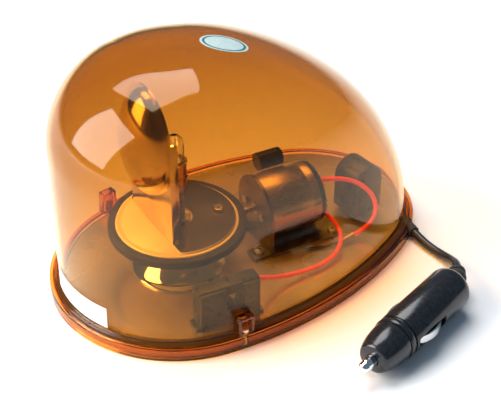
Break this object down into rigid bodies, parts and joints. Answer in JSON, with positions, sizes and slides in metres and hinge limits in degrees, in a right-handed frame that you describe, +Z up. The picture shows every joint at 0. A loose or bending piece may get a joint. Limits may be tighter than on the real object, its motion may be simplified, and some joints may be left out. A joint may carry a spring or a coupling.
{
  "type": "rotating warning beacon",
  "caption": "Amber rotating warning beacon: egg-shaped clear dome over a friction-driven mirror and lamp, magnetic foot, short cord with a 12 V plug.",
  "frame": {"origin": "centre of the base's footprint, on the ground plane under the magnet pad", "axes": "+Z up, +X towards the narrow end of the base, where the cord leaves"},
  "size_m": [0.2, 0.1866, 0.1279],
  "materials": {
    "amber_lens": "clear moulded",
    "steel": "satin",
    "base_metal": "gloss",
    "rubber": "matte",
    "ferrite": "matte",
    "bright_metal": "polished",
    "white_plastic": "matte",
    "brass": "satin",
    "clear_glass": "clear",
    "dark_metal": "satin",
    "motor_metal": "satin",
    "black_plastic": "semi-gloss",
    "red_sleeve": "satin",
    "plug_plastic": "gloss",
    "label": "satin",
    "mirror_sheet": "polished"
  },
  "bodies": {
    "base": {"lens_dome": "amber_lens", "lens_screws": "steel", "base_pan": "base_metal", "base_gasket": "rubber", "magnet_pad": "rubber", "magnet": "ferrite", "magnet_yoke": "steel", "magnet_bolt": "steel", "pedestal": "bright_metal", "spindle": "steel", "thrust_washer": "white_plastic", "retaining_clip": "steel", "lamp_holder": "brass", "lamp_contact": "brass", "bulb_cap": "bright_metal", "bulb_glass": "clear_glass", "bulb_filament": "steel", "motor_bracket": "dark_metal", "bracket_screws": "steel", "motor_can": "motor_metal", "motor_end_cap": "black_plastic", "motor_magnets": "ferrite", "motor_screws": "steel", "capacitor_strap": "steel", "capacitor": "black_plastic", "terminal_block": "black_plastic", "terminal_screws": "brass", "cord_entry_cover": "black_plastic", "red_lead_long": "red_sleeve", "red_lead_short": "red_sleeve", "crimp_ferrule": "brass", "black_lead": "rubber", "cord_grommet": "rubber", "cord": "rubber", "plug_body": "plug_plastic", "plug_nose_cap": "plug_plastic", "tip_spring": "steel", "plug_strain_relief": "rubber", "dome_sticker": "label", "rating_label": "label"},
    "rotor": {"rotor_disc": "bright_metal", "rotor_bush": "brass", "drive_tyre": "rubber", "reflector": "mirror_sheet", "reflector_screws": "steel"},
    "motor_rotor": {"motor_shaft": "steel", "motor_armature": "dark_metal", "motor_commutator": "brass", "drive_roller": "brass"},
    "plug_tip_set": {"plug_tip": "bright_metal", "plug_fuse": "clear_glass", "fuse_caps": "bright_metal"},
    "contact_left": {"side_contact_left": "bright_metal"},
    "contact_right": {"side_contact_right": "bright_metal"}
  },
  "joints": [
    {"name": "rotor_spin", "type": "hinge", "parent": "base", "child": "rotor", "pos_m": [-0.0365, 0, 0], "axis": [0, 0, 1], "continuous": true},
    {"name": "motor_spin", "type": "hinge", "parent": "base", "child": "motor_rotor", "pos_m": [-0.0365, 0, 0.027], "axis": [0.989, -0.1478, 0], "continuous": true},
    {"name": "tip_press", "type": "slide", "parent": "base", "child": "plug_tip_set", "axis": [0.9681, 0.2504, 0], "range_m": [0, 0.003], "stiffness_N_per_m": 900, "springref_m": -0.003},
    {"name": "left_contact_press", "type": "slide", "parent": "base", "child": "contact_left", "axis": [-0.2504, 0.9681, 0], "range_m": [0, 0.0012], "stiffness_N_per_m": 1500, "springref_m": -0.001},
    {"name": "right_contact_press", "type": "slide", "parent": "base", "child": "contact_right", "axis": [0.2504, -0.9681, 0], "range_m": [0, 0.0012], "stiffness_N_per_m": 1500, "springref_m": -0.001}
  ],
  "couplings": [
    {"joint": "motor_spin", "follows": "rotor_spin", "ratio": -8.6712}
  ]
}
